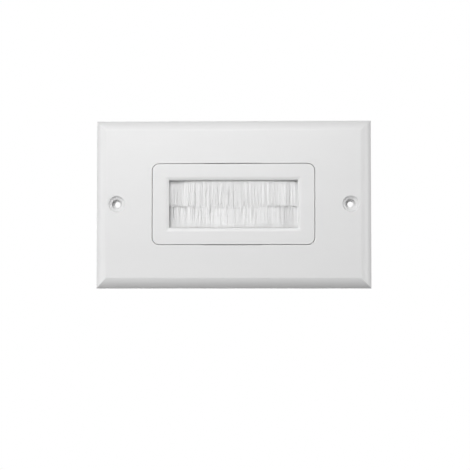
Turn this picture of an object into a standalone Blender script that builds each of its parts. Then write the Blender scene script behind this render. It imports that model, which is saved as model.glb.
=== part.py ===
"""Single-gang brush wall plate: a moulded face plate, a snap-in brush frame and two strip brushes.

Metres, +Z up. The face looks along -Y, and the wall is the plane y = 0. The origin is the
centre of the plate on the wall. Depths are given as heights above the wall, towards the viewer.
"""

import math
import random

import bmesh
import bpy
from mathutils import Matrix

MM = 0.001

# Face plate
PLATE_LENGTH = 114.3 * MM
PLATE_WIDTH = 69.85 * MM
PLATE_HEIGHT = 5.6 * MM
FACE_WALL = 2.2 * MM
RIM_WALL = 2.0 * MM
RIM_HEIGHT = 2.0 * MM
RIM_DRAFT = 0.1 * MM
BEVEL_WIDTH = 4.45 * MM
BEVEL_OUTER_SLOPE = math.radians(62)
BEVEL_INNER_SLOPE = math.radians(17)
BEVEL_STEPS = 20
RIB_THICKNESS = 1.0 * MM
RIB_SPACING = 22.0 * MM
OPENING_RIM = 1.3 * MM

# Screws that the plate and the strap are drilled for
PLATE_SCREW_INSET = 8.73 * MM
PLATE_HOLE_DIAMETER = 4.1 * MM
COUNTERSINK_DIAMETER = 6.8 * MM
COUNTERSINK_RIM = 0.9 * MM
COUNTERSINK_DRAFT = 0.55 * MM
COUNTERSINK_ANGLE = math.radians(110)
PILOT_DIAMETER = 2.4 * MM
BOSS_WALL = 2.4 * MM
BOX_SCREW_OFFSET = 6.75 * MM
BOX_SLOT_WIDTH = 4.4 * MM
BOX_SLOT_LENGTH = 7.6 * MM

# Brush frame that fills the plate's opening
INSERT_LENGTH = 67.0 * MM
INSERT_WIDTH = 33.4 * MM
INSERT_PROUD = 0.1 * MM
INSERT_CORNER = 2.8 * MM
INSERT_GAP = 0.2 * MM
LATCH_LENGTH = 24.0 * MM
LATCH_RELIEF = 0.12 * MM
INSERT_FACE_WALL = 2.2 * MM
INSERT_SIDE_WALL = 1.4 * MM
POCKET_CORNER = 0.5 * MM
COLLAR_DEPTH = 4.0 * MM
EDGE_ROUND = 0.18 * MM

# Window in the brush frame
WINDOW_LENGTH = 53.4 * MM
WINDOW_WIDTH = 19.8 * MM
WINDOW_CORNER = 0.3 * MM
LIP_WIDTH = 1.7 * MM
LIP_INNER_SLOPE = math.radians(44)
LIP_STEPS = 10

# Mounting strap, one moulding with the brush frame
STRAP_THICKNESS = 1.6 * MM
STRAP_RIM_GAP = 1.95 * MM
STRAP_EAR_WIDTH = 22.0 * MM
STRAP_CORNER = 3.0 * MM
FLANGE_MARGIN = 2.8 * MM

# Strip brushes
CHANNEL_DEPTH = 4.8 * MM
CHANNEL_WIDTH = 3.0 * MM
CHANNEL_SHEET = 0.5 * MM
CHANNEL_BEND = 0.3 * MM
CRIMP_PINCH = 0.2 * MM
CRIMP_SETBACK = 1.2 * MM
CRIMP_RUN = 1.0 * MM
WIRE_DIAMETER = 0.8 * MM
WIRE_OVERHANG = 0.2 * MM
BRISTLE_OVERLAP = 1.1 * MM
BRISTLE_LEAN = 0.65 * MM
TRIM_SPREAD = 0.35 * MM
TUFT_PITCH = 0.9 * MM
TUFT_ROWS = 2
TUFT_SEED = 7
# A tuft's width and thickness as shares of its cell, at shares of its length
TUFT_TAPER = ((0.15, 0.84, 0.84), (0.6, 0.8, 0.7), (1.0, 0.6, 0.45))
ROW_CLOSING = 0.25
TUFTS_IN_CLUMP = 9
CLUMP_LEAN = 0.3
STRAY_LEAN = 0.06

# Ribs and catches that hold the channels in the frame
SPACER_THICKNESS = 1.1 * MM
CATCH_LENGTH = 6.0 * MM
CATCH_REACH = 1.3 * MM
CATCH_NOSE = 0.5 * MM
CATCH_RAMP = 1.9 * MM
CATCH_SPACING = 20.0 * MM

# Clearances
SEAT_GAP = 0.3 * MM
CHANNEL_END_GAP = 0.4 * MM
PACK_GAP = 0.1 * MM
OVERSHOOT = 1.0 * MM
WELD = 0.4 * MM

# Facets
ROUND_STEPS = 40
WIRE_STEPS = 12
CORNER_STEPS = 8
SMALL_STEPS = 3
SMOOTH_ANGLE = math.radians(30)

# Sizes that follow from the ones above
PLATE_SCREW_SPACING = PLATE_LENGTH - 2 * PLATE_SCREW_INSET
BOX_SCREW_SPACING = PLATE_SCREW_SPACING - 2 * BOX_SCREW_OFFSET
STRAP_LENGTH = PLATE_LENGTH - 2 * (RIM_WALL + STRAP_RIM_GAP)
FACE_BACK = PLATE_HEIGHT - FACE_WALL
OPENING_HALF_LENGTH = INSERT_LENGTH / 2 + INSERT_GAP
OPENING_HALF_WIDTH = INSERT_WIDTH / 2 + INSERT_GAP
OPENING_CORNER = INSERT_CORNER + INSERT_GAP
RIB_FOOT = STRAP_THICKNESS + SEAT_GAP
INSERT_HEIGHT = PLATE_HEIGHT + INSERT_PROUD
POCKET_TOP = INSERT_HEIGHT - INSERT_FACE_WALL
POCKET_HALF_LENGTH = INSERT_LENGTH / 2 - INSERT_SIDE_WALL
POCKET_HALF_WIDTH = INSERT_WIDTH / 2 - INSERT_SIDE_WALL
CHANNEL_FRONT = POCKET_TOP - SEAT_GAP
CHANNEL_BACK = CHANNEL_FRONT - CHANNEL_WIDTH
CHANNEL_MIDDLE = CHANNEL_FRONT - CHANNEL_WIDTH / 2
CHANNEL_OUTER_Z = POCKET_HALF_WIDTH - SEAT_GAP
CHANNEL_MOUTH_Z = CHANNEL_OUTER_Z - CHANNEL_DEPTH
CHANNEL_HALF_LENGTH = POCKET_HALF_LENGTH - CHANNEL_END_GAP
CHANNEL_HALF_GAP = CHANNEL_WIDTH / 2 - CHANNEL_SHEET
CATCH_FRONT = CHANNEL_BACK - SEAT_GAP
BUNDLE_RADIUS = CHANNEL_HALF_GAP - PACK_GAP
BUNDLE_CENTER_DEPTH = CHANNEL_SHEET + PACK_GAP + BUNDLE_RADIUS
PACK_HALF_LENGTH = POCKET_HALF_LENGTH - SPACER_THICKNESS - TUFT_PITCH
BRISTLE_LENGTH = CHANNEL_MOUTH_Z + BRISTLE_OVERLAP


def make_material(name, color, roughness, metallic=0.0):
    """A Principled BSDF of one colour."""
    material = bpy.data.materials.new(name)
    material.use_nodes = True
    shader = material.node_tree.nodes["Principled BSDF"]
    shader.inputs["Base Color"].default_value = (*color, 1.0)
    shader.inputs["Roughness"].default_value = roughness
    shader.inputs["Metallic"].default_value = metallic
    material.diffuse_color = (*color, 1.0)
    return material


def add_object(name, bm, material=None, smooth=True):
    """Puts the bmesh into the scene as an object whose faces point outwards."""
    bmesh.ops.recalc_face_normals(bm, faces=bm.faces)
    mesh = bpy.data.meshes.new(name)
    bm.to_mesh(mesh)
    bm.free()
    if smooth:
        mesh.shade_smooth()
        mesh.set_sharp_from_angle(angle=SMOOTH_ANGLE)
    obj = bpy.data.objects.new(name, mesh)
    bpy.context.scene.collection.objects.link(obj)
    if material:
        mesh.materials.append(material)
    return obj


def add_helper(name, bm):
    """A shape that only cuts or joins others, so it isn't rendered."""
    obj = add_object(name, bm)
    obj.hide_render = True
    obj.display_type = "WIRE"
    return obj


def combine(obj, helper, operation):
    """Adds an exact Boolean of the helper to the object."""
    modifier = obj.modifiers.new(helper.name, "BOOLEAN")
    modifier.operation = operation
    modifier.solver = "EXACT"
    modifier.object = helper
    helper.parent = obj


def rounded_rectangle(half_x, half_z, radius=0.0, steps=CORNER_STEPS):
    """Points (x, z) round a rectangle with arcs for corners, or sharp corners if radius is 0."""
    corners = ((1, 1), (-1, 1), (-1, -1), (1, -1))
    if not radius:
        return [(sx * half_x, sz * half_z) for sx, sz in corners]
    points = []
    for quarter, (sx, sz) in enumerate(corners):
        for step in range(steps + 1):
            angle = math.pi / 2 * (quarter + step / steps)
            x = sx * (half_x - radius) + radius * math.cos(angle)
            z = sz * (half_z - radius) + radius * math.sin(angle)
            points.append((x, z))
    return points


def circle(radius, center_x=0.0, steps=ROUND_STEPS):
    """Points (x, z) round a circle on the X axis."""
    angles = [2 * math.pi * step / steps for step in range(steps)]
    return [(center_x + radius * math.cos(a), radius * math.sin(a)) for a in angles]


def loft(bm, sections):
    """Skins sections, each (outline of (x, z), height), and caps the first and the last."""
    rings = []
    for outline, height in sections:
        rings.append([bm.verts.new((x, -height, z)) for x, z in outline])
    for below, above in zip(rings, rings[1:]):
        for i in range(len(below)):
            j = (i + 1) % len(below)
            bm.faces.new((below[i], below[j], above[j], above[i]))
    bm.faces.new(rings[0])
    bm.faces.new(rings[-1])


def extrude_along_x(bm, outline, start, end):
    """A bar of the section (height, z) that runs along X from start to end, capped at both."""
    ends = []
    for x in (start, end):
        ends.append([bm.verts.new((x, -height, z)) for height, z in outline])
    for i in range(len(outline)):
        j = (i + 1) % len(outline)
        bm.faces.new((ends[0][i], ends[0][j], ends[1][j], ends[1][i]))
    bm.faces.new(ends[0])
    bm.faces.new(ends[1])


def add_box(bm, center, size):
    """A box by its centre (x, height, z) and its size."""
    matrix = Matrix.Translation((center[0], -center[1], center[2])) @ Matrix.Diagonal((*size, 1.0))
    bmesh.ops.create_cube(bm, size=1.0, matrix=matrix)


def bevel_profile(offset):
    """The bevel's convex arc as (inset from the plate's edge, height), moved inwards by offset."""
    slopes = [
        BEVEL_OUTER_SLOPE + (BEVEL_INNER_SLOPE - BEVEL_OUTER_SLOPE) * step / BEVEL_STEPS
        for step in range(BEVEL_STEPS + 1)
    ]
    run = BEVEL_WIDTH - RIM_DRAFT
    rise = PLATE_HEIGHT - RIM_HEIGHT
    run_share = math.sin(BEVEL_OUTER_SLOPE) - math.sin(BEVEL_INNER_SLOPE)
    rise_share = math.cos(BEVEL_INNER_SLOPE) - math.cos(BEVEL_OUTER_SLOPE)
    points = []
    for slope in slopes:
        along = (math.sin(BEVEL_OUTER_SLOPE) - math.sin(slope)) / run_share
        up = (math.cos(slope) - math.cos(BEVEL_OUTER_SLOPE)) / rise_share
        inset = RIM_DRAFT + run * along + offset * math.sin(slope)
        points.append((inset, RIM_HEIGHT + rise * up - offset * math.cos(slope)))
    return points


def plate_outline(inset):
    return rounded_rectangle(PLATE_LENGTH / 2 - inset, PLATE_WIDTH / 2 - inset)


def edge_round(half_x, half_z, radius, height, grow):
    """Sections that end at height with a rounded edge: grow is 1 for a mouth that flares, -1 for a body."""
    sections = []
    for step in range(SMALL_STEPS + 1):
        angle = math.pi / 2 * step / SMALL_STEPS
        out = grow * EDGE_ROUND * (1 - math.cos(angle))
        outline = rounded_rectangle(half_x + out, half_z + out, radius + out)
        sections.append((outline, height - EDGE_ROUND + EDGE_ROUND * math.sin(angle)))
    return sections


def opening_cutter():
    """Cuts the plate's opening, with a rounded front edge."""
    size = (OPENING_HALF_LENGTH, OPENING_HALF_WIDTH, OPENING_CORNER)
    rounded = edge_round(*size, PLATE_HEIGHT, grow=1)
    bm = bmesh.new()
    loft(bm, [(rounded_rectangle(*size), -OVERSHOOT), *rounded, (rounded[-1][0], PLATE_HEIGHT + OVERSHOOT)])
    return add_helper("opening_cutter", bm)


def latch_cutter():
    """Widens the opening a little in the middle of its long sides."""
    bm = bmesh.new()
    depth = PLATE_HEIGHT + 2 * OVERSHOOT
    width = 2 * (OPENING_HALF_WIDTH + LATCH_RELIEF)
    add_box(bm, (0.0, PLATE_HEIGHT / 2, 0.0), (LATCH_LENGTH, depth, width))
    return add_helper("latch_cutter", bm)


def countersink_cutter(side):
    """Cuts one screw hole: a bore, a cone for the screw's head, a steep rim and a softened edge."""
    bore = PLATE_HOLE_DIAMETER / 2
    mouth = COUNTERSINK_DIAMETER / 2
    cone = mouth - COUNTERSINK_DRAFT
    cone_top = PLATE_HEIGHT - EDGE_ROUND / 2 - COUNTERSINK_RIM
    x = side * PLATE_SCREW_SPACING / 2
    profile = [
        (bore, -OVERSHOOT),
        (bore, cone_top - (cone - bore) / math.tan(COUNTERSINK_ANGLE / 2)),
        (cone, cone_top),
        (mouth, PLATE_HEIGHT - EDGE_ROUND / 2),
        (mouth + EDGE_ROUND / 2, PLATE_HEIGHT),
        (mouth + EDGE_ROUND / 2, PLATE_HEIGHT + OVERSHOOT),
    ]
    bm = bmesh.new()
    loft(bm, [(circle(radius, x), height) for radius, height in profile])
    return add_helper(f"countersink_cutter_{side_name(side, 'left', 'right')}", bm)


def side_name(side, negative, positive):
    return positive if side > 0 else negative


def opening_rim():
    """The block on the plate's back that the opening leaves as a rim round itself."""
    half_x = OPENING_HALF_LENGTH + OPENING_RIM
    half_z = OPENING_HALF_WIDTH + OPENING_RIM
    outline = rounded_rectangle(half_x, half_z, OPENING_CORNER + OPENING_RIM)
    bm = bmesh.new()
    loft(bm, [(outline, RIB_FOOT), (outline, FACE_BACK + WELD)])
    return add_helper("opening_rim", bm)


def screw_boss(side):
    """The boss that the plate's screw pulls down onto the strap."""
    radius = PLATE_HOLE_DIAMETER / 2 + BOSS_WALL
    outline = circle(radius, side * PLATE_SCREW_SPACING / 2)
    bm = bmesh.new()
    loft(bm, [(outline, RIB_FOOT), (outline, FACE_BACK + WELD)])
    return add_helper(f"screw_boss_{side_name(side, 'left', 'right')}", bm)


def cross_rib(x, inner_z, side):
    """A rib from inner_z out to the plate's rim."""
    outer_z = PLATE_WIDTH / 2 - RIM_WALL + WELD
    root = FACE_BACK + WELD
    center = (x, (RIB_FOOT + root) / 2, side * (inner_z + outer_z) / 2)
    bm = bmesh.new()
    add_box(bm, center, (RIB_THICKNESS, root - RIB_FOOT, outer_z - inner_z))
    return add_helper("cross_rib", bm)


def build_wall_plate(material):
    """The face plate: a thin shell with a convex mitred bevel, opened for the brush frame."""
    outer = [(0.0, 0.0), *bevel_profile(0.0)]
    inner = [(RIM_WALL, 0.0), *[p for p in bevel_profile(FACE_WALL) if p[0] > RIM_WALL]]
    profile = [*reversed(inner), *outer]
    bm = bmesh.new()
    loft(bm, [(plate_outline(inset), height) for inset, height in profile])
    plate = add_object("wall_plate", bm, material)
    combine(plate, opening_rim(), "UNION")
    for side in (-1, 1):
        combine(plate, screw_boss(side), "UNION")
    rib_start = OPENING_HALF_WIDTH + OPENING_RIM - WELD
    boss_edge = PLATE_HOLE_DIAMETER / 2 + BOSS_WALL - WELD
    for side in (-1, 1):
        for x in (-RIB_SPACING, 0.0, RIB_SPACING):
            combine(plate, cross_rib(x, rib_start, side), "UNION")
        for x in (-PLATE_SCREW_SPACING / 2, PLATE_SCREW_SPACING / 2):
            combine(plate, cross_rib(x, boss_edge, side), "UNION")
    combine(plate, opening_cutter(), "DIFFERENCE")
    combine(plate, latch_cutter(), "DIFFERENCE")
    for side in (-1, 1):
        combine(plate, countersink_cutter(side), "DIFFERENCE")
    return plate


def strap_outline():
    """The strap from the front: a flange round the frame, and an ear at each end."""
    flange_x = INSERT_LENGTH / 2 + FLANGE_MARGIN
    flange_z = INSERT_WIDTH / 2 + FLANGE_MARGIN
    ear_x = STRAP_LENGTH / 2
    ear_z = STRAP_EAR_WIDTH / 2
    radius = min(STRAP_CORNER, (ear_x - flange_x) / 2)
    corners = [
        (ear_x - radius, ear_z - radius, 0.0, math.pi / 2),
        (flange_x + radius, ear_z + radius, 3 * math.pi / 2, math.pi),
        (flange_x - radius, flange_z - radius, 0.0, math.pi / 2),
    ]
    quarter = []
    for center_x, center_z, start, end in corners:
        for step in range(CORNER_STEPS + 1):
            angle = start + (end - start) * step / CORNER_STEPS
            quarter.append((center_x + radius * math.cos(angle), center_z + radius * math.sin(angle)))
    left_top = [(-x, z) for x, z in reversed(quarter)]
    left_bottom = [(-x, -z) for x, z in quarter]
    right_bottom = [(x, -z) for x, z in reversed(quarter)]
    return [*quarter, *left_top, *left_bottom, *right_bottom]


def strap():
    bm = bmesh.new()
    outline = strap_outline()
    loft(bm, [(outline, 0.0), (outline, STRAP_THICKNESS)])
    return add_helper("strap", bm)


def pocket_cutter():
    """Hollows the frame from behind, where the strip brushes lie."""
    outline = rounded_rectangle(POCKET_HALF_LENGTH, POCKET_HALF_WIDTH, POCKET_CORNER, SMALL_STEPS)
    bm = bmesh.new()
    loft(bm, [(outline, -COLLAR_DEPTH - OVERSHOOT), (outline, POCKET_TOP)])
    return add_helper("pocket_cutter", bm)


def window_cutter():
    """Cuts the window, whose lip is a convex arc that grows flatter towards the face."""
    half_x = WINDOW_LENGTH / 2
    half_z = WINDOW_WIDTH / 2
    reach = math.sin(LIP_INNER_SLOPE)
    drop = LIP_WIDTH * (1 - math.cos(LIP_INNER_SLOPE)) / reach
    sections = [(rounded_rectangle(half_x, half_z, WINDOW_CORNER, SMALL_STEPS), POCKET_TOP - OVERSHOOT)]
    for step in range(LIP_STEPS + 1):
        slope = LIP_INNER_SLOPE * (1 - step / LIP_STEPS)
        out = LIP_WIDTH * (1 - math.sin(slope) / reach)
        down = drop * (1 - math.cos(slope)) / (1 - math.cos(LIP_INNER_SLOPE))
        outline = rounded_rectangle(half_x + out, half_z + out, WINDOW_CORNER, SMALL_STEPS)
        sections.append((outline, INSERT_HEIGHT - down))
    sections.append((sections[-1][0], INSERT_HEIGHT + OVERSHOOT))
    bm = bmesh.new()
    loft(bm, sections)
    return add_helper("window_cutter", bm)


def pilot_cutter(side):
    """The hole in an ear that the plate's screw goes into."""
    outline = circle(PILOT_DIAMETER / 2, side * PLATE_SCREW_SPACING / 2)
    bm = bmesh.new()
    loft(bm, [(outline, -OVERSHOOT), (outline, STRAP_THICKNESS + OVERSHOOT)])
    return add_helper(f"pilot_cutter_{side_name(side, 'left', 'right')}", bm)


def slot_cutter(side):
    """The slot in an ear for the screw that holds the strap to the box, long across the plate."""
    center = side * BOX_SCREW_SPACING / 2
    slot = rounded_rectangle(BOX_SLOT_WIDTH / 2, BOX_SLOT_LENGTH / 2, BOX_SLOT_WIDTH / 2)
    outline = [(center + x, z) for x, z in slot]
    bm = bmesh.new()
    loft(bm, [(outline, -OVERSHOOT), (outline, STRAP_THICKNESS + OVERSHOOT)])
    bmesh.ops.remove_doubles(bm, verts=bm.verts, dist=1e-7)
    return add_helper(f"slot_cutter_{side_name(side, 'left', 'right')}", bm)


def catches():
    """Snap catches on the pocket's long walls, each with a flat seat and a ramp behind it."""
    wall = POCKET_HALF_WIDTH + WELD
    nose = POCKET_HALF_WIDTH - CATCH_REACH
    section = [
        (CATCH_FRONT, wall),
        (CATCH_FRONT, nose),
        (CATCH_FRONT - CATCH_NOSE, nose),
        (CATCH_FRONT - CATCH_NOSE - CATCH_RAMP, POCKET_HALF_WIDTH),
        (CATCH_FRONT - CATCH_NOSE - CATCH_RAMP, wall),
    ]
    bm = bmesh.new()
    for side in (-1, 1):
        outline = [(height, side * z) for height, z in section]
        for x in (-CATCH_SPACING, 0.0, CATCH_SPACING):
            extrude_along_x(bm, outline, x - CATCH_LENGTH / 2, x + CATCH_LENGTH / 2)
    return add_helper("catches", bm)


def end_spacers():
    """A rib on each short wall of the pocket that keeps the two channels apart."""
    half_z = CHANNEL_MOUTH_Z - SEAT_GAP
    height = POCKET_TOP + WELD - CHANNEL_BACK
    length = SPACER_THICKNESS + WELD
    bm = bmesh.new()
    for side in (-1, 1):
        x = side * (POCKET_HALF_LENGTH + (WELD - SPACER_THICKNESS) / 2)
        add_box(bm, (x, CHANNEL_BACK + height / 2, 0.0), (length, height, 2 * half_z))
    return add_helper("end_spacers", bm)


def build_brush_insert(material):
    """The brush frame: bezel, collar, mounting strap and catches in one moulding."""
    size = (INSERT_LENGTH / 2, INSERT_WIDTH / 2, INSERT_CORNER)
    bm = bmesh.new()
    loft(bm, [(rounded_rectangle(*size), -COLLAR_DEPTH), *edge_round(*size, INSERT_HEIGHT, grow=-1)])
    insert = add_object("brush_insert", bm, material)
    combine(insert, strap(), "UNION")
    combine(insert, pocket_cutter(), "DIFFERENCE")
    combine(insert, window_cutter(), "DIFFERENCE")
    for side in (-1, 1):
        combine(insert, pilot_cutter(side), "DIFFERENCE")
        combine(insert, slot_cutter(side), "DIFFERENCE")
    combine(insert, catches(), "UNION")
    combine(insert, end_spacers(), "UNION")
    return insert


def flanks():
    """Half the gap between the channel's flanks, and the depth below its back where it is that wide."""
    crimp = CHANNEL_DEPTH - CRIMP_SETBACK
    return [
        (CHANNEL_HALF_GAP, crimp - CRIMP_RUN),
        (CHANNEL_HALF_GAP - CRIMP_PINCH, crimp),
        (CHANNEL_HALF_GAP - CRIMP_PINCH / 2, CHANNEL_DEPTH),
    ]


def bend(radius):
    """The front bend of the channel as (front, depth), from its back round to its flank."""
    center = CHANNEL_BEND + CHANNEL_SHEET
    angles = [math.radians(90 - 90 * step / SMALL_STEPS) for step in range(SMALL_STEPS + 1)]
    front = CHANNEL_WIDTH / 2 - center
    return [(front + radius * math.cos(a), center - radius * math.sin(a)) for a in angles]


def build_channel(name, material, parent):
    """A strip of sheet metal folded into a U, its flanks crimped towards each other near the mouth."""
    outer_flank = [(half + CHANNEL_SHEET, depth) for half, depth in flanks()]
    outside = [*bend(CHANNEL_BEND + CHANNEL_SHEET), *outer_flank]
    inside = [*bend(CHANNEL_BEND), *flanks()]
    front_half = [*outside, *reversed(inside)]
    outline = [*front_half, *[(-front, depth) for front, depth in reversed(front_half)]]
    bm = bmesh.new()
    section = [(front, -depth) for front, depth in outline]
    extrude_along_x(bm, section, -CHANNEL_HALF_LENGTH, CHANNEL_HALF_LENGTH)
    channel = add_object(name, bm, material)
    channel.parent = parent
    return channel


def rod_outline(radius):
    """A round section about the core wire's axis."""
    angles = [2 * math.pi * step / WIRE_STEPS for step in range(WIRE_STEPS)]
    return [(radius * math.cos(a), radius * math.sin(a) - BUNDLE_CENTER_DEPTH) for a in angles]


def build_core_wire(name, material, parent):
    """The wire that the filaments are folded round."""
    bm = bmesh.new()
    half_length = PACK_HALF_LENGTH + WIRE_OVERHANG
    extrude_along_x(bm, rod_outline(WIRE_DIAMETER / 2), -half_length, half_length)
    wire = add_object(name, bm, material)
    wire.parent = parent
    return wire


def bundle_outline():
    """The folded root of the filaments as (front, depth), from the front of the mouth to its back."""
    front_side = [(half - PACK_GAP, depth) for half, depth in reversed(flanks())]
    fold = []
    for step in range(CORNER_STEPS + 1):
        angle = math.pi * step / CORNER_STEPS
        fold.append((BUNDLE_RADIUS * math.cos(angle), BUNDLE_CENTER_DEPTH - BUNDLE_RADIUS * math.sin(angle)))
    return [*front_side, *fold, *[(-front, depth) for front, depth in reversed(front_side)]]


def tuft_rings(bm, base, step_aside, lean, length):
    """Adds a tuft's corner rings below its base cell: it narrows, leans and ends in a trimmed tip."""
    center_x = sum(v.co.x for v in base) / 4
    front = -(base[0].co.y + base[3].co.y) / 2
    half_front = (base[3].co.y - base[0].co.y) / 2
    rings = [base]
    for share, width, thickness in TUFT_TAPER:
        x = center_x + step_aside + lean * share
        half_x = width * TUFT_PITCH / 2
        y = -front * (1 - ROW_CLOSING * share) - BRISTLE_LEAN * share
        half_y = thickness * half_front
        z = base[0].co.z - length * share
        corners = ((-1, -1), (1, -1), (1, 1), (-1, 1))
        rings.append([bm.verts.new((x + sx * half_x, y + sy * half_y, z)) for sx, sy in corners])
    return rings


def skin(bm, rings):
    """Walls between four-cornered rings, and a cap on the last."""
    for near, far in zip(rings, rings[1:]):
        for i in range(4):
            j = (i + 1) % 4
            bm.faces.new((near[i], near[j], far[j], far[i]))
    bm.faces.new(rings[-1])


def bundle_with_grid(bm, count):
    """The folded root as a bar along X. Its mouth is a grid of vertices, one cell for each tuft."""
    section = bundle_outline()
    mouth_front, mouth_depth = section[0]
    xs = [PACK_HALF_LENGTH * (2 * i / count - 1) for i in range(count + 1)]
    fronts = [mouth_front * (1 - 2 * row / TUFT_ROWS) for row in range(TUFT_ROWS + 1)]
    grid = [[bm.verts.new((x, -front, -mouth_depth)) for x in xs] for front in fronts]
    ends = [[bm.verts.new((x, -front, -depth)) for front, depth in section[1:-1]] for x in (xs[0], xs[-1])]
    for i in range(len(ends[0]) - 1):
        bm.faces.new((ends[0][i], ends[0][i + 1], ends[1][i + 1], ends[1][i]))
    bm.faces.new((*grid[0], ends[1][0], ends[0][0]))
    bm.faces.new((*grid[-1], ends[1][-1], ends[0][-1]))
    for end, column in ((ends[0], 0), (ends[1], -1)):
        bm.faces.new((*end, *[line[column] for line in reversed(grid)]))
    return grid


def build_bristle_pack(name, material, parent, seed):
    """Filaments folded round the core wire, gathered into tufts that lean together in clumps."""
    chance = random.Random(seed)
    phase = chance.uniform(0, 2 * math.pi)
    count = round(2 * PACK_HALF_LENGTH / TUFT_PITCH)
    bm = bmesh.new()
    grid = bundle_with_grid(bm, count)
    for row in range(TUFT_ROWS):
        step_aside = TUFT_PITCH * ((row + 0.5) / TUFT_ROWS - 0.5)
        for i in range(count):
            base = [grid[row][i], grid[row][i + 1], grid[row + 1][i + 1], grid[row + 1][i]]
            clump = math.sin(phase + 2 * math.pi * i / TUFTS_IN_CLUMP)
            lean = TUFT_PITCH * (CLUMP_LEAN * clump + chance.uniform(-STRAY_LEAN, STRAY_LEAN))
            length = BRISTLE_LENGTH + chance.uniform(-TRIM_SPREAD, TRIM_SPREAD)
            skin(bm, tuft_rings(bm, base, step_aside, lean, length))
    pack = add_object(name, bm, material, smooth=False)
    pack.parent = parent
    bore = bmesh.new()
    half_length = PACK_HALF_LENGTH + OVERSHOOT
    extrude_along_x(bore, rod_outline(WIRE_DIAMETER / 2 + PACK_GAP), -half_length, half_length)
    combine(pack, add_helper(f"{name}_wire_bore", bore), "DIFFERENCE")
    return pack


def build_strip_brush(side, metal, wire_metal, nylon):
    """One strip brush. The lower one is turned over, so its filaments lie behind the upper ones."""
    place = side_name(side, "lower", "upper")
    holder = bpy.data.objects.new(f"{place}_strip_brush", None)
    holder.location = (0.0, -CHANNEL_MIDDLE, side * CHANNEL_OUTER_Z)
    holder.rotation_euler.x = 0.0 if side > 0 else math.pi
    bpy.context.scene.collection.objects.link(holder)
    build_channel(f"{place}_brush_channel", metal, holder)
    build_core_wire(f"{place}_core_wire", wire_metal, holder)
    build_bristle_pack(f"{place}_bristles", nylon, holder, TUFT_SEED + side)


def main():
    for obj in list(bpy.data.objects):
        bpy.data.objects.remove(obj, do_unlink=True)
    plate_white = make_material("plate_white", (0.86, 0.86, 0.86), 0.35)
    insert_white = make_material("insert_white", (0.86, 0.86, 0.86), 0.38)
    channel_metal = make_material("channel_metal", (0.62, 0.63, 0.64), 0.4, 1.0)
    wire_metal = make_material("wire_metal", (0.5, 0.5, 0.5), 0.35, 1.0)
    nylon = make_material("nylon", (0.85, 0.85, 0.85), 0.45)
    build_wall_plate(plate_white)
    build_brush_insert(insert_white)
    for side in (-1, 1):
        build_strip_brush(side, channel_metal, wire_metal, nylon)


main()
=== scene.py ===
"""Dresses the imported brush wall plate: moulded plastic, rolled metal, filament brushes and a studio.

Row frame, in metres: the face looks along -Y, +Z is up and the wall is the plane y = 0.
"""

import math

import bmesh
import bpy
from mathutils import Matrix, Vector


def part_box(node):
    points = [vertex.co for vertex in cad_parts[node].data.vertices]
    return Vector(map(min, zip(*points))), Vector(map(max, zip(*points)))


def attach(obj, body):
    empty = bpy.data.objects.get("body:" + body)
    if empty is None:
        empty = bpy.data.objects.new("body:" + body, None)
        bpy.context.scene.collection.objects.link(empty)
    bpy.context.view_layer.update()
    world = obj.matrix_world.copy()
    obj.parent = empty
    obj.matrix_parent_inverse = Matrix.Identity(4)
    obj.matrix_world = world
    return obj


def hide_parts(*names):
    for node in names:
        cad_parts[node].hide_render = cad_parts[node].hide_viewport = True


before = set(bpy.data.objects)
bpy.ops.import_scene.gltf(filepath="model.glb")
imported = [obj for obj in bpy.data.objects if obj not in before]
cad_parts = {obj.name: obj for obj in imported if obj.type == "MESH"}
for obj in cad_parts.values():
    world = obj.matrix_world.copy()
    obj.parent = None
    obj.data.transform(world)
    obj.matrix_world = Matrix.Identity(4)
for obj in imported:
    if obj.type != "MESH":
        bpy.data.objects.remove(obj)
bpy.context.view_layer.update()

bl_info = {
    "name": "Brush Wall Plate Finish",
    "version": (1, 0, 0),
    "blender": (4, 5, 0),
    "location": "3D View > Sidebar > Wall Plate",
    "description": "Finishes a brush wall plate and sets up its studio",
    "category": "Object",
}

MM = 0.001
BODY = "root"
WHITE = (1.0, 1.0, 1.0, 1.0)

# Moulded plastic: its flow marks are drawn out along X, and grain and marks change its gloss
FLOW_STRETCH = (0.25, 1.0, 1.0)
FLOW_SWIRL = 0.4
GRAIN_ROUGHNESS = 0.6
GRAIN_GLOSS = 0.12
FLOW_GLOSS = 0.08
EDGE_SAMPLES = 6
PLASTIC_IOR = 1.5
PLASTIC_SPECULAR = 0.4

# Bare metal: fine lines drawn out along X, faint clouds, and its darkest and lightest shade
LINE_STRETCH = (0.02, 1.0, 1.0)
LINE_SHARE = 0.6
CLOUD_SIZE = 3.0 * MM
CLOUD_GLOSS = 0.2
METAL_SHADES = (0.82, 1.08)

# Width and depth of the lines that rolling leaves on the sheet and drawing on the wire
CHANNEL_LINES = (0.12 * MM, 0.004 * MM)
WIRE_LINES = (0.05 * MM, 0.002 * MM)

# Nylon: faint streaks drawn out along the filaments, and how far a filament's tone changes its gloss
STREAK_STRETCH = (1.0, 1.0, 0.12)
STREAK_SIZE = 0.5 * MM
STREAK_SHARE = 0.2
TONE_GLOSS = 0.15
NYLON_IOR = 1.53
TONE_ATTRIBUTE = "filament_tone"

# Folded filament: this many spans in the fold and in each of its two legs
FOLD_SPANS = 4
LEG_SPANS = 5
FILAMENT_SIDES = 3

# The wire stands out of the pack by this at each end, and the channel grips the pack from this far inside
WIRE_END = 0.3 * MM
MOUTH_LEAD = 0.1 * MM

# Each random number that a filament or a leg draws has its own step from the seed
DRAWS = {"root": 0, "radius": 1, "length": 2, "layer": 3, "stray": 4, "tone": 5, "start": 6}

# Noise along the brush is widened to about -1 to 1, and each face of the pack starts elsewhere on it
NOISE_GAIN = 3.2
TUFT_SHIFT = 3.7
ROW_SHIFT = 7.9
FAN_SHIFT = 5.3
CLUMP_SHIFT = 9.1

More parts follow.
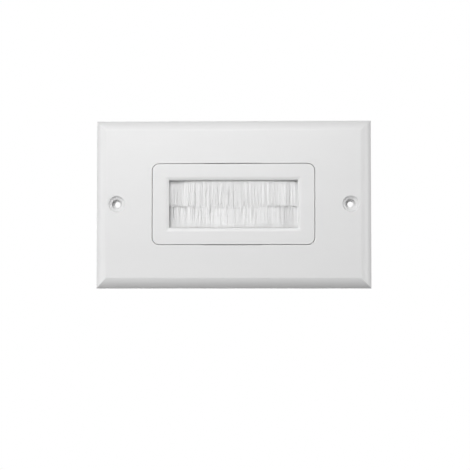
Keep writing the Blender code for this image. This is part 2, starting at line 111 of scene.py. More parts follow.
# A tuft's part in a depth or a turn that it shares with its row or clump
TUFT_SHARE = 0.6

# How much of the trim a tuft, and also a row, adds to a leg's length or takes from it
LENGTH_SHARE = 0.4

# The longest leg goes this part of the trim beyond the overlap, and the shortest ends the rest short of it
LONGEST = 0.4

# Layers of the pack: they lie closer together outside, between the wire and the pack's faces
LAYER_POWER = 0.7
LAYER_RANGE = (0.04, 0.96)

# The bulge keeps its depth until near its ends, and eases at the tips where the brushes mingle
BULGE_POWER = 4.0
BULGE_EASE = 0.7

# Part of the lean that tips keep where the brushes mingle
MINGLED_LEAN = 0.2

# Tips lean aside less and less between these shares of the pack's length from its middle
END_SHARES = (0.45, 0.5)

# Tone of a leg: at least the first, up to the second more by chance, and the third more or less by its tuft
TONE_PARTS = (0.8, 0.2, 0.1)

# Sizes that both brushes share: where they mingle, stand forward and carry a painted shade at their left
# end, and how wide groups are.
# Pinch and Flare are the pack's thickness in the channel and beyond it, as shares of its bundle's.
SHARED_VALUES = {
    "Blend Start": -18.5 * MM,
    "Blend End": 14.0 * MM,
    "Blend Ramp": 5.0 * MM,
    "Pinch": 0.8,
    "Flare": 1.6,
    "Bulge Middle": 2.0 * MM,
    "Bulge Half Length": 25.0 * MM,
    "Fan Width": 4.5 * MM,
    "Clump Width": 0.6 * MM,
    "Tuft Width": 0.3 * MM,
    "Row Width": 0.7 * MM,
    # Painted shade: the left end of each brush is darkened in colour, in place of the shadow of the
    # window's left wall
    "Dull End": -23.0 * MM,
    "Dull Length": 2.5 * MM,
}

# The upper brush hangs and swells at once below its channel; the lower one stands and swells more slowly
BRUSH_VALUES = {
    "upper": {"Side": 1.0, "Spring Spans": 1.0, "Start Power": 1.95, "Start Jitter": 0.28},
    "lower": {"Side": -1.0, "Spring Spans": 1.5, "Start Power": 1.7, "Start Jitter": 1.0},
}

# Studio, in metres: the point that every lamp faces, and each lamp's place and width
STUDIO_TARGET = Vector((0.0, -5.0 * MM, 0.0))
LAMPS = {
    "front": ((-0.06, -0.339, 0.2), 0.25),
    "low": ((-0.408, -0.486, -0.296), 0.3),
    "left": ((-0.689, -0.122, 0.0), 0.3),
    "right": ((0.689, -0.122, 0.0), 0.3),
    "back": ((-0.2, 0.68, 0.15), 0.7),
}

# Light from all round: only this share from below, growing to all of it between these heights of the sky
LOW_SKY_SHARE = 0.3
SKY_HEIGHTS = (-0.2, 0.4)

# Floor, in metres: its half width, its share of returned light, and where its shadow fades into white
FLOOR_HALF = 4.0
FLOOR_BOUNCE = 0.4
GLOW_SHARE = 0.6
GLOW_DISTANCES = (0.2, 0.9)

# Camera that was fitted to the photograph: its place and sensor width in mm, and its turn in degrees
CAMERA_PLACE = (16.3, -551.2, -35.6)
CAMERA_TURN = (90 + 2.39, 0.01, 1.64)
SENSOR_WIDTH = 36.0

# The nearest and the furthest that the camera sees, in metres
CLIP_RANGE = (0.01, 20.0)


class Wire:
    """An output socket of a node tree. Arithmetic on it adds Math nodes to that tree."""

    def __init__(self, tree, socket):
        self.tree = tree
        self.socket = socket

    @classmethod
    def node(cls, tree, kind, settings=None, inputs=None, output=None):
        """Adds a node: first its settings, then the values or links of its sockets. Gives one output."""
        made = tree.nodes.new(kind)
        for name, value in (settings or {}).items():
            setattr(made, name, value)
        for key, value in (inputs or {}).items():
            feed(tree, pick(made.inputs, key), value)
        return cls(tree, pick(made.outputs, output)) if made.outputs else None

    def maths(self, operation, *others, swap=False):
        operands = [self, *others]
        if swap:
            operands.reverse()
        return Wire.node(
            self.tree,
            "ShaderNodeMath",
            {"operation": operation},
            dict(enumerate(operands)),
        )

    def __add__(self, other):
        return self.maths("ADD", other)

    def __sub__(self, other):
        return self.maths("SUBTRACT", other)

    def __rsub__(self, other):
        return self.maths("SUBTRACT", other, swap=True)

    def __mul__(self, other):
        return self.maths("MULTIPLY", other)

    def __truediv__(self, other):
        return self.maths("DIVIDE", other)

    def __abs__(self):
        return self.maths("ABSOLUTE")

    __radd__ = __add__
    __rmul__ = __mul__


def pick(sockets, key):
    """A socket by its index, or by its name among the sockets in use, or else the first in use."""
    if isinstance(key, int):
        return sockets[key]
    return next(s for s in sockets if s.enabled and key in (None, s.name))


def feed(tree, socket, value):
    """Links a wire to the socket, or sets the socket's own value."""
    if isinstance(value, Wire):
        tree.links.new(value.socket, socket)
    else:
        socket.default_value = value


def smooth_step(tree, value, low, high):
    """0 below low, 1 above high, smooth between them."""
    return Wire.node(
        tree,
        "ShaderNodeMapRange",
        {"interpolation_type": "SMOOTHSTEP"},
        {"Value": value, "From Min": low, "From Max": high},
    )


def object_place(tree):
    """The shaded point in the object's own coordinates."""
    return Wire.node(tree, "ShaderNodeTexCoord", output="Object")


def stretched(tree, place, scale):
    """The place with its axes scaled: a scale below 1 draws a pattern out along that axis."""
    return Wire.node(tree, "ShaderNodeMapping", {}, {"Vector": place, "Scale": scale})


def noise(tree, place, size, detail, **more):
    """Solid noise from 0 to 1 whose clouds are about this size."""
    return Wire.node(
        tree,
        "ShaderNodeTexNoise",
        {"noise_dimensions": "3D"},
        {"Vector": place, "Scale": 1 / size, "Detail": detail, **more},
    )


def mix_colors(tree, factor, first, second):
    """The first colour where the factor is 0, the second where it is 1."""
    return Wire.node(
        tree, "ShaderNodeMix", {"data_type": "RGBA"}, {"Factor": factor, "A": first, "B": second}
    )


def bump(tree, height, depth, **more):
    """A normal that the height pattern disturbs by this depth."""
    return Wire.node(
        tree, "ShaderNodeBump", {}, {"Height": height, "Strength": 1.0, "Distance": depth, **more}
    )


def shaded(color, factor):
    """The colour times a factor, with full alpha."""
    return (*[channel * factor for channel in color], 1.0)


def new_material(name):
    """An empty material and its node tree."""
    material = bpy.data.materials.new(name)
    material.use_nodes = True
    material.node_tree.nodes.clear()
    return material, material.node_tree


def finish_shader(tree, inputs):
    """A Principled BSDF with these sockets, wired to the material's output."""
    shader = Wire.node(tree, "ShaderNodeBsdfPrincipled", {}, inputs)
    Wire.node(tree, "ShaderNodeOutputMaterial", {}, {"Surface": shader})


def moulded_plastic(name, color, settings):
    """Satin white moulding: spark-eroded grain, faint flow marks and edges with a small radius."""
    material, tree = new_material(name)
    place = object_place(tree)
    grain = noise(tree, place, settings.grain_size, 2.0, Roughness=GRAIN_ROUGHNESS)
    along = stretched(tree, place, FLOW_STRETCH)
    flow = noise(tree, along, settings.flow_size, 3.0, Distortion=FLOW_SWIRL)
    base = mix_colors(tree, flow, shaded(color, 1 - settings.flow_contrast), shaded(color, 1.0))
    roughness = settings.roughness + (grain - 0.5) * GRAIN_GLOSS + (flow - 0.5) * FLOW_GLOSS
    soft_edges = Wire.node(
        tree, "ShaderNodeBevel", {"samples": EDGE_SAMPLES}, {"Radius": settings.edge_radius}
    )
    finish_shader(
        tree,
        {
            "Base Color": base,
            "Roughness": roughness,
            "IOR": PLASTIC_IOR,
            "Specular IOR Level": PLASTIC_SPECULAR,
            "Normal": bump(tree, grain, settings.grain_depth, Normal=soft_edges),
        },
    )
    return material


def bare_metal(name, color, roughness, line_size, line_depth):
    """Bare metal with fine lines along X, as rolling or drawing leaves them, and a faint cloudiness."""
    material, tree = new_material(name)
    place = object_place(tree)
    lines = noise(tree, stretched(tree, place, LINE_STRETCH), line_size, 3.0)
    clouds = noise(tree, place, CLOUD_SIZE, 2.0)
    pattern = lines * LINE_SHARE + clouds * (1 - LINE_SHARE)
    dark, light = (shaded(color, shade) for shade in METAL_SHADES)
    finish_shader(
        tree,
        {
            "Base Color": mix_colors(tree, pattern, dark, light),
            "Metallic": 1.0,
            "Roughness": roughness + (clouds - 0.5) * CLOUD_GLOSS,
            "Normal": bump(tree, lines, line_depth),
        },
    )
    return material


def nylon(name, color, roughness, tone_contrast):
    """White nylon monofilament, a little lighter or duller from one filament to the next."""
    material, tree = new_material(name)
    tone = Wire.node(
        tree, "ShaderNodeAttribute", {"attribute_name": TONE_ATTRIBUTE}, output="Fac"
    )
    streaks = noise(tree, stretched(tree, object_place(tree), STREAK_STRETCH), STREAK_SIZE, 2.0)
    lightness = tone + (streaks - 0.5) * STREAK_SHARE
    finish_shader(
        tree,
        {
            "Base Color": mix_colors(
                tree, lightness, shaded(color, 1 - tone_contrast), shaded(color, 1.0)
            ),
            "Roughness": roughness + (tone - 0.5) * TONE_GLOSS,
            "IOR": NYLON_IOR,
        },
    )
    return material


def dress(node_name, material):
    """Gives a carried-over CAD node its material."""
    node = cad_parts[node_name]
    node.data.materials.clear()
    node.data.materials.append(material)


FILAMENT_INPUTS = {
    "NodeSocketInt": ("Filaments", "Seed"),
    "NodeSocketFloat": (
        # Seat: the wire, the channel and the pack
        "Pack Length",
        "Core Height",
        "Depth",
        "Core Radius",
        "Bundle Radius",
        "Mouth Height",
        "Side",
        # Tips
        "Overlap",
        "Trim",
        "Blended Trim",
        "Blend Start",
        "Blend End",
        "Blend Ramp",
        # Depth of the pack, from the channel to the tips
        "Pinch",
        "Flare",
        "Bulge",
        "Bulge Middle",
        "Bulge Half Length",
        "Setback",
        "Spring Spans",
        "Start Power",
        "Start Jitter",
        "Lean",
        "Relief",
        "Tip Relief",
        # Groups of filaments along the brush
        "Fan",
        "Fan Width",
        "Clump",
        "Clump Width",
        "Tuft Width",
        "Row Width",
        "Tilt",
        "Stray",
        # Single filaments
        "Diameter",
        # Painted shade: the brush's left end is darkened in colour
        "Dull End",
        "Dull Length",
        "Dulling",
    ),
    "NodeSocketMaterial": ("Material",),
}


class FilamentTree:
    """Filaments folded over a core wire: each runs up one face of the pack and down the other.

    Every filament starts as the same straight curve. Where its points go, which way its flat side faces
    and how light it is follow from its number and from each point's share of the way along it.
    """

    def __init__(self, name):
        self.tree = bpy.data.node_groups.new(name, "GeometryNodeTree")
        for kind, names in FILAMENT_INPUTS.items():
            for socket_name in names:
                self.tree.interface.new_socket(name=socket_name, in_out="INPUT", socket_type=kind)
        self.tree.interface.new_socket(
            name="Geometry", in_out="OUTPUT", socket_type="NodeSocketGeometry"
        )
        given = self.tree.nodes.new("NodeGroupInput")
        self.size = {
            socket_name: Wire(self.tree, given.outputs[socket_name])
            for names in FILAMENT_INPUTS.values()
            for socket_name in names
        }
        self.follow_filament()
        self.follow_brush()
        self.build()

    def node(self, kind, settings=None, inputs=None, output=None):
        return Wire.node(self.tree, kind, settings, inputs, output)

    def combine(self, x, y, z):
        return self.node("ShaderNodeCombineXYZ", {}, {"X": x, "Y": y, "Z": z})

    def chance(self, identity, draw):
        """A random number from 0 to 1 that is the same for the same filament or leg."""
        return self.node(
            "FunctionNodeRandomValue",
            {"data_type": "FLOAT"},
            {"ID": identity, "Seed": self.size["Seed"] + DRAWS[draw]},
            output="Value",
        )

    def noise_along(self, width, shift):
        """Noise along the brush, from about -1 to 1, for groups of this width."""
        where = self.root / self.size[width] + self.face * shift
        wave = self.node(
            "ShaderNodeTexNoise",
            {"noise_dimensions": "1D"},
            {"W": where + self.size["Seed"], "Scale": 1.0, "Detail": 1.0},
        )
        return (wave - 0.5) * NOISE_GAIN

    def follow_filament(self):
        """Along the filament: round the wire, then held by the channel, then free."""
        size = self.size
        fold_share = FOLD_SPANS / (FOLD_SPANS + 2 * LEG_SPANS)
        self.number = self.node("GeometryNodeCurveOfPoint", output="Curve Index")
        signed = self.node("GeometryNodeSplineParameter", output="Factor") * 2 - 1
        out = abs(signed)
        self.face = signed.maths("SIGN")
        self.leg = self.number * 2 + (self.face + 1) * 0.5
        self.turn = (out / fold_share).maths("MINIMUM", 1.0) * (math.pi / 2)
        down = ((out - fold_share) / (1 - fold_share)).maths("MAXIMUM", 0.0)
        self.held = (down * LEG_SPANS).maths("MINIMUM", 1.0)
        self.step = ((down * LEG_SPANS - 1) / (LEG_SPANS - 1)).maths("MAXIMUM", 0.0)
        power = size["Start Power"] + self.chance(self.leg, "start") * size["Start Jitter"]
        self.free = self.step.maths("POWER", power)
        self.spread = (self.step * (LEG_SPANS - 1) / size["Spring Spans"]).maths("MINIMUM", 1.0)

    def follow_brush(self):
        """Along the brush: where a filament is rooted, and what its place there gives it."""
        size = self.size
        length = size["Pack Length"]
        spot = (self.number + self.chance(self.number, "root")) / size["Filaments"] - 0.5
        self.root = spot * length
        ramp = size["Blend Ramp"]
        mingling = smooth_step(self.tree, self.root, size["Blend Start"], size["Blend Start"] + ramp)
        parting = smooth_step(self.tree, self.root, size["Blend End"] - ramp, size["Blend End"])
        self.blended = mingling * (1 - parting)
        from_middle = abs(self.root - size["Bulge Middle"]) / size["Bulge Half Length"]
        self.middle = (1 - from_middle.maths("POWER", BULGE_POWER)).maths("MAXIMUM", 0.0)
        kept_share, end_share = END_SHARES
        self.kept = 1 - smooth_step(self.tree, abs(self.root), length * kept_share, length * end_share)
        self.tuft = self.noise_along("Tuft Width", TUFT_SHIFT)
        self.row = self.noise_along("Row Width", ROW_SHIFT)
        self.clump = self.noise_along("Clump Width", CLUMP_SHIFT)
        thickness = size["Bundle Radius"] - size["Core Radius"]
        self.radius = size["Core Radius"] + self.chance(self.number, "radius") * thickness

    def height(self):
        """Height above the window's middle, for a brush that hangs."""
        size = self.size
        groups = self.tuft * LENGTH_SHARE + self.row * LENGTH_SHARE
        uneven = self.chance(self.leg, "length") - (1 - LONGEST) + groups
        trim = size["Trim"] * (1 - self.blended) + size["Blended Trim"] * self.blended
        reach = size["Mouth Height"] + size["Overlap"] + uneven * trim
        held_length = size["Core Height"] - size["Mouth Height"]
        round_wire = size["Core Height"] + self.radius * self.turn.maths("COSINE")
        return round_wire - self.held * held_length - self.free * reach

    def depth(self):
        """Depth: round the wire, pinched by the channel, then flared, forward and leaning."""
        size = self.size
        inner, outer = LAYER_RANGE
        rank = self.chance(self.leg, "layer").maths("POWER", LAYER_POWER)
        layer = self.face * size["Bundle Radius"] * (rank * (outer - inner) + inner)
        thickness = size["Pinch"] + (size["Flare"] - size["Pinch"]) * self.spread
        round_wire = self.face * self.radius * self.turn.maths("SINE") * (1 - self.held)
        forward = size["Bulge"] * self.middle * (1 - BULGE_EASE * self.blended * self.free)
        forward = forward - size["Setback"]
        lean = self.free * size["Lean"] * (MINGLED_LEAN + (1 - MINGLED_LEAN) * (1 - self.blended))
        stand_out = size["Relief"] * self.spread + size["Tip Relief"] * self.free
        groups = self.tuft * TUFT_SHARE + self.row * (1 - TUFT_SHARE)
        across = round_wire + layer * thickness * self.held - forward * self.spread
        return across + lean + stand_out * groups + size["Depth"]

    def aside(self):
        """Distance from the root along the brush: wide fans, narrow clumps and single strays."""
        size = self.size
        fan = self.noise_along("Fan Width", FAN_SHIFT) * size["Fan"]
        odd = self.chance(self.leg, "stray") * 2 - 1
        stray = odd * odd * odd * size["Stray"]
        narrow = (self.clump * size["Clump"] + stray) * self.step
        return (fan * self.free * self.step + narrow) * self.kept

    def outward(self):
        """Direction of the filament's flat side: out of the pack, and a tuft's a little aside."""
        groups = self.tuft * TUFT_SHARE + self.clump * (1 - TUFT_SHARE)
        upward = self.turn.maths("COSINE") * self.size["Side"]
        return self.combine(
            groups * self.spread * self.size["Tilt"], self.face * self.turn.maths("SINE"), upward
        )

    def tone(self):
        """Lightness, which changes at random from leg to leg, and falls at the brush's left end as a
        painted shade that stands in for the shadow of the window's left wall.
        """
        size = self.size
        least, by_chance, by_tuft = TONE_PARTS
        # Painted shade: legs near the left end are made darker in colour, standing in for the shadow of the
        # window's left wall
        bright_from = size["Dull End"] + size["Dull Length"]
        dull = 1 - smooth_step(self.tree, self.root, size["Dull End"], bright_from)
        lightness = self.chance(self.leg, "tone") * by_chance + least + self.tuft * by_tuft
        return lightness - dull * size["Dulling"]

    def build(self):
        """Wires the geometry, from one straight line to the finished brush."""
        size = self.size
        line = self.node("GeometryNodeCurvePrimitiveLine", {"mode": "POINTS"})
        points = self.node(
            "GeometryNodeResampleCurve",
            {},
            {"Curve": line, "Count": FOLD_SPANS + 2 * LEG_SPANS + 1},
        )
        bundle = self.node(
            "GeometryNodeDuplicateElements",
            {"domain": "SPLINE"},
            {"Geometry": points, "Amount": size["Filaments"]},
        )
        place = self.combine(self.root + self.aside(), self.depth(), self.height() * size["Side"])
        curves = self.node("GeometryNodeSetPosition", {}, {"Geometry": bundle, "Position": place})
        faced = self.node(
            "GeometryNodeSetCurveNormal", {"mode": "FREE"}, {"Curve": curves, "Normal": self.outward()}
        )
        toned = self.node(
            "GeometryNodeStoreNamedAttribute",
            {"data_type": "FLOAT", "domain": "POINT"},
            {"Geometry": faced, "Name": TONE_ATTRIBUTE, "Value": self.tone()},
        )
        ring = self.node(
            "GeometryNodeCurvePrimitiveCircle",
            {"mode": "RADIUS"},
            {"Resolution": FILAMENT_SIDES, "Radius": size["Diameter"] / 2},
        )
        section = self.node(
            "GeometryNodeTransform",
            {},
            {"Geometry": ring, "Rotation": (0.0, 0.0, math.pi / FILAMENT_SIDES)},
        )
        tubes = self.node(
            "GeometryNodeCurveToMesh", {}, {"Curve": toned, "Profile Curve": section, "Fill Caps": True}
        )
        flat = self.node("GeometryNodeSetShadeSmooth", {}, {"Geometry": tubes, "Shade Smooth": False})
        real = self.node("GeometryNodeRealizeInstances", {}, {"Geometry": flat})
        coated = self.node(
            "GeometryNodeSetMaterial", {}, {"Geometry": real, "Material": size["Material"]}
        )
        self.node("NodeGroupOutput", {}, {"Geometry": coated})


def grow(name, tree, values):
    """Runs a geometry tree with these inputs, by name, and keeps the result as a plain mesh."""
    obj = bpy.data.objects.new(name, bpy.data.meshes.new(name))
    bpy.context.scene.collection.objects.link(obj)
    modifier = obj.modifiers.new(tree.name, "NODES")
    modifier.node_group = tree
    for item in tree.interface.items_tree:
        if item.in_out == "INPUT":
            modifier[item.identifier] = values[item.name]
    bpy.context.view_layer.update()
    depsgraph = bpy.context.evaluated_depsgraph_get()
    mesh = bpy.data.meshes.new_from_object(
        obj.evaluated_get(depsgraph), preserve_all_data_layers=True, depsgraph=depsgraph
    )
    obj.modifiers.clear()
    obj.data = mesh
    mesh.name = name
    return obj


def seat_values(place, diameter):
    """Sizes that follow from this brush's wire, channel and pack."""
    wire_low, wire_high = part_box(f"{place}_core_wire")
    core = (wire_low + wire_high) / 2
    wire_radius = (wire_high.z - wire_low.z) / 2
    channel_heights = [abs(corner.z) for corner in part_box(f"{place}_brush_channel")]
    pack_heights = [abs(corner.z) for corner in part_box(f"{place}_bristles")]
    return {
        "Pack Length": wire_high.x - wire_low.x - 2 * WIRE_END,
        "Core Height": abs(core.z),
        "Depth": core.y,
        "Core Radius": wire_radius + diameter / 2,
        "Bundle Radius": max(pack_heights) - abs(core.z) - diameter / 2,
        "Mouth Height": min(channel_heights) + MOUTH_LEAD,
    }


def style_values(place, settings):
    """What the settings give this brush. The upper one hangs in front of the lower one."""
    in_front = place == "upper"
    return {
        "Filaments": settings.filaments,
        "Diameter": settings.diameter,
        "Overlap": settings.overlap,
        "Trim": settings.trim,
        "Blended Trim": settings.blended_trim,
        "Bulge": settings.bulge,
        "Setback": 0.0 if in_front else settings.setback,
        "Lean": -settings.lean if in_front else settings.lean,
        "Relief": settings.relief,
        "Tip Relief": 0.0 if in_front else settings.tip_relief,
        "Tilt": settings.upper_tilt if in_front else settings.lower_tilt,
        "Fan": settings.fan,
        "Clump": settings.clump,
        "Stray": settings.stray,
        "Dulling": settings.painted_shade_strength,
        "Seed": settings.upper_seed if in_front else settings.lower_seed,
    }


class MouldingSettings(bpy.types.PropertyGroup):
    plate_color: bpy.props.FloatVectorProperty(
        name="Plate Colour",
        description="Colour of the plate's plastic",
        subtype="COLOR",
        size=3,
        min=0.0,
        max=1.0,
        default=(0.83, 0.83, 0.83),
    )
    insert_color: bpy.props.FloatVectorProperty(
        name="Frame Colour",
        description="Colour of the brush frame's plastic",
        subtype="COLOR",
        size=3,
        min=0.0,
        max=1.0,
        default=(0.83, 0.83, 0.83),
    )
    roughness: bpy.props.FloatProperty(
        name="Roughness",
        description="How dull the moulded surface is",
        subtype="FACTOR",
        min=0.0,
        max=1.0,
        default=0.36,
    )
    grain_size: bpy.props.FloatProperty(
        name="Grain Size",
        description="Distance over which the mould's satin grain repeats",
        unit="LENGTH",
        precision=5,
        default=0.35 * MM,
    )
    grain_depth: bpy.props.FloatProperty(
        name="Grain Depth",
        description="Height of the mould's satin grain",
        unit="LENGTH",
        precision=6,
        default=0.004 * MM,
    )
    flow_size: bpy.props.FloatProperty(
        name="Flow Mark Size",
        description="Size of the faint clouds that the plastic's flow leaves",
        unit="LENGTH",
        precision=4,
        default=9.0 * MM,
    )
    flow_contrast: bpy.props.FloatProperty(
        name="Flow Mark Contrast",
        description="How much darker the flow marks are than the plastic",
        subtype="FACTOR",
        min=0.0,
        max=1.0,
        default=0.03,
    )
    edge_radius: bpy.props.FloatProperty(
        name="Edge Radius",
        description="Radius that the mould leaves on every sharp edge",
        unit="LENGTH",
        precision=5,
        default=0.15 * MM,
    )


class MetalSettings(bpy.types.PropertyGroup):
    channel_color: bpy.props.FloatVectorProperty(
        name="Channel Colour",
        description="Colour of the folded aluminium channels",
        subtype="COLOR",
        size=3,
        min=0.0,
        max=1.0,
        default=(0.62, 0.63, 0.64),
    )
    wire_color: bpy.props.FloatVectorProperty(
        name="Wire Colour",
        description="Colour of the drawn core wires",
        subtype="COLOR",
        size=3,
        min=0.0,
        max=1.0,
        default=(0.5, 0.49, 0.48),
    )
    roughness: bpy.props.FloatProperty(
        name="Roughness",
        description="How dull the metal is",
        subtype="FACTOR",
        min=0.0,
        max=1.0,
        default=0.4,
    )


class BrushSettings(bpy.types.PropertyGroup):
    color: bpy.props.FloatVectorProperty(
        name="Filament Colour",
        description="Colour of the nylon",
        subtype="COLOR",
        size=3,
        min=0.0,
        max=1.0,
        default=(0.99, 0.99, 0.99),
    )
    roughness: bpy.props.FloatProperty(
        name="Roughness",
        description="How dull the nylon is",
        subtype="FACTOR",
        min=0.0,
        max=1.0,
        default=0.4,
    )
    tone_contrast: bpy.props.FloatProperty(
        name="Tone Contrast",
        description="How much darker the dullest filaments are than the lightest",
        subtype="FACTOR",
        min=0.0,
        max=1.0,
        default=0.11,
    )
    # Painted shade: how much darker the filaments at the brush's left end are coloured, in place of the
    # window wall's shadow
    painted_shade_strength: bpy.props.FloatProperty(
        name="Dulling",
        description="How much duller the filaments at the left end are",
        subtype="FACTOR",
        min=0.0,
        max=1.0,
        default=0.6,
    )
    filaments: bpy.props.IntProperty(
        name="Folded Filaments",
        description="Filaments in each brush; each is folded in two, so it shows twice",
        min=10,
        default=1900,
    )
    diameter: bpy.props.FloatProperty(
        name="Filament Diameter",
        description="Thickness of one filament",
        unit="LENGTH",
        precision=5,
        default=0.18 * MM,
    )
    upper_seed: bpy.props.IntProperty(
        name="Upper Seed",
        description="Start of the random numbers that place the upper filaments",
        default=210,
    )
    lower_seed: bpy.props.IntProperty(
        name="Lower Seed",
        description="Start of the random numbers that place the lower filaments",
        default=183,
    )
    overlap: bpy.props.FloatProperty(
        name="Overlap",
        description="How far each brush reaches past the window's middle",
        unit="LENGTH",
        precision=5,
        default=0.6 * MM,
    )
    trim: bpy.props.FloatProperty(
        name="Trim",
        description="Spread of the filaments' lengths where the brushes part",
        unit="LENGTH",
        precision=5,
        default=0.8 * MM,
    )
    blended_trim: bpy.props.FloatProperty(
        name="Blended Trim",
        description="Spread of the filaments' lengths where the two brushes mingle",
        unit="LENGTH",
        precision=5,
        default=3.0 * MM,
    )
    lean: bpy.props.FloatProperty(
        name="Lean",
        description="How far the upper tips stand in front of their own plane, and the lower ones behind",
        unit="LENGTH",
        precision=5,
        default=0.2 * MM,
    )
    bulge: bpy.props.FloatProperty(
        name="Bulge",
        description="How far the middle of each brush stands forward",
        unit="LENGTH",
        precision=5,
        default=1.2 * MM,
    )
    setback: bpy.props.FloatProperty(
        name="Setback",
        description="How far the lower brush stands behind the upper one",
        unit="LENGTH",
        precision=5,
        default=0.4 * MM,
    )
    relief: bpy.props.FloatProperty(
        name="Relief",
        description="How far single tufts stand in front of or behind the others",
        unit="LENGTH",
        precision=5,
        default=0.5 * MM,
    )
    tip_relief: bpy.props.FloatProperty(
        name="Tip Relief",
        description="How much further the lower tufts' tips stand forward or back",
        unit="LENGTH",
        precision=5,
        default=0.25 * MM,
    )
    upper_tilt: bpy.props.FloatProperty(
        name="Upper Tilt",
        description="How far upper tufts turn their faces aside, as a slope",
        default=1.05,
    )
    lower_tilt: bpy.props.FloatProperty(
        name="Lower Tilt",
        description="How far lower tufts turn their faces aside, as a slope",
        default=0.945,
    )
    fan: bpy.props.FloatProperty(
        name="Fan",
        description="How far wide groups of tips spread sideways",
        unit="LENGTH",
        precision=5,
        default=0.7 * MM,
    )
    clump: bpy.props.FloatProperty(
        name="Clump",
        description="How far narrow groups of tips lean together",
        unit="LENGTH",
        precision=5,
        default=0.35 * MM,
    )
    stray: bpy.props.FloatProperty(
        name="Stray",
        description="How far single tips stray sideways",
        unit="LENGTH",
        precision=5,
        default=0.55 * MM,
    )


class StudioSettings(bpy.types.PropertyGroup):
    floor_height: bpy.props.FloatProperty(
        name="Floor Height",
        description="Height of the floor below the plate's centre",
        unit="LENGTH",
        default=-300.0 * MM,
    )
    floor_color: bpy.props.FloatVectorProperty(
        name="Floor Colour",
        description="Colour of the floor's surface",
        subtype="COLOR",
        size=3,
        min=0.0,
        max=1.0,
        default=(0.8, 0.8, 0.8),
    )
    ambient: bpy.props.FloatProperty(
        name="Ambient Light",
        description="Strength of the even light from all round",
        min=0.0,
        default=0.25,
    )
    front_power: bpy.props.FloatProperty(
        name="Front Light",
        description="Power of the near lamp above and in front",
        unit="POWER",
        default=0.97,
    )
    low_power: bpy.props.FloatProperty(
        name="Low Light",
        description="Power of the lamp at the lower left",
        unit="POWER",
        default=2.31,
    )
    left_power: bpy.props.FloatProperty(
        name="Left Light",
        description="Power of the lamp at the far left",
        unit="POWER",
        default=0.63,
    )
    right_power: bpy.props.FloatProperty(
        name="Right Light",
        description="Power of the lamp at the far right",
        unit="POWER",
        default=1.39,
    )
    back_power: bpy.props.FloatProperty(
        name="Back Light",
        description="Power of the lamp behind the plate",
        unit="POWER",
        default=3.0,
    )
    focal_length: bpy.props.FloatProperty(
        name="Focal Length",
        description="The camera's focal length on a 36 mm sensor",
        unit="CAMERA",
        default=101.37,
    )


class WALLPLATE_OT_finish_plate(bpy.types.Operator):
    """Finish the face plate in satin white plastic"""

    bl_idname = "wall_plate.finish_plate"
    bl_label = "Finish Face Plate"

    def execute(self, context):
        settings = context.scene.moulding_settings
        dress("wall_plate", moulded_plastic("plate_plastic", settings.plate_color, settings))
        return {"FINISHED"}


class WALLPLATE_OT_finish_frame(bpy.types.Operator):
    """Finish the brush frame and its strap in satin white plastic"""

    bl_idname = "wall_plate.finish_frame"
    bl_label = "Finish Brush Frame"

    def execute(self, context):
        settings = context.scene.moulding_settings
        dress("brush_insert", moulded_plastic("frame_plastic", settings.insert_color, settings))
        return {"FINISHED"}


class WALLPLATE_OT_finish_metal(bpy.types.Operator):
    """Finish the folded channels and the core wires in bare metal"""

    bl_idname = "wall_plate.finish_metal"
    bl_label = "Finish Channels and Wires"

    def execute(self, context):
        settings = context.scene.metal_settings
        roughness = settings.roughness
        channel = bare_metal("rolled_aluminium", settings.channel_color, roughness, *CHANNEL_LINES)
        wire = bare_metal("drawn_wire", settings.wire_color, roughness, *WIRE_LINES)
        for place in BRUSH_VALUES:
            dress(f"{place}_brush_channel", channel)
            dress(f"{place}_core_wire", wire)
        return {"FINISHED"}


class WALLPLATE_OT_grow_brushes(bpy.types.Operator):
    """Grow the two brushes' filaments, folded over their core wires"""

    bl_idname = "wall_plate.grow_brushes"
    bl_label = "Grow Brushes"

    def execute(self, context):
        settings = context.scene.brush_settings
        material = nylon("white_nylon", settings.color, settings.roughness, settings.tone_contrast)
        filaments = FilamentTree("folded_filaments")
        for place, own_values in BRUSH_VALUES.items():
            values = {
                **SHARED_VALUES,
                **own_values,
                **seat_values(place, settings.diameter),
                **style_values(place, settings),
                "Material": material,
            }
            brush = grow(f"{place}_filaments", filaments.tree, values)
            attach(brush, BODY)
            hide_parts(f"{place}_bristles")
        return {"FINISHED"}


def white_to_camera(tree):
    """1 for what the camera sees directly, in a reflection or through glass."""
    rays = tree.nodes.new("ShaderNodeLightPath")
    seen = Wire(tree, rays.outputs["Is Camera Ray"])
    for name in ("Is Glossy Ray", "Is Transmission Ray"):
        seen = seen.maths("MAXIMUM", Wire(tree, rays.outputs[name]))
    return seen


def white_world(ambient):
    """A world that looks white and lights the object with an even grey."""
    world = bpy.data.worlds.new("studio_world")
    world.use_nodes = True
    tree = world.node_tree
    tree.nodes.clear()
    direction = Wire.node(tree, "ShaderNodeTexCoord", output="Generated")
    upward = Wire.node(tree, "ShaderNodeSeparateXYZ", {}, {"Vector": direction}, output="Z")
    high_sky = (1 - LOW_SKY_SHARE) * smooth_step(tree, upward, *SKY_HEIGHTS)
    light = ambient * (LOW_SKY_SHARE + high_sky)
    seen = white_to_camera(tree)
    strength = light * (1 - seen) + seen
    backdrop = Wire.node(tree, "ShaderNodeBackground", {}, {"Color": WHITE, "Strength": strength})
    Wire.node(tree, "ShaderNodeOutputWorld", {}, {"Surface": backdrop})
    bpy.context.scene.world = world


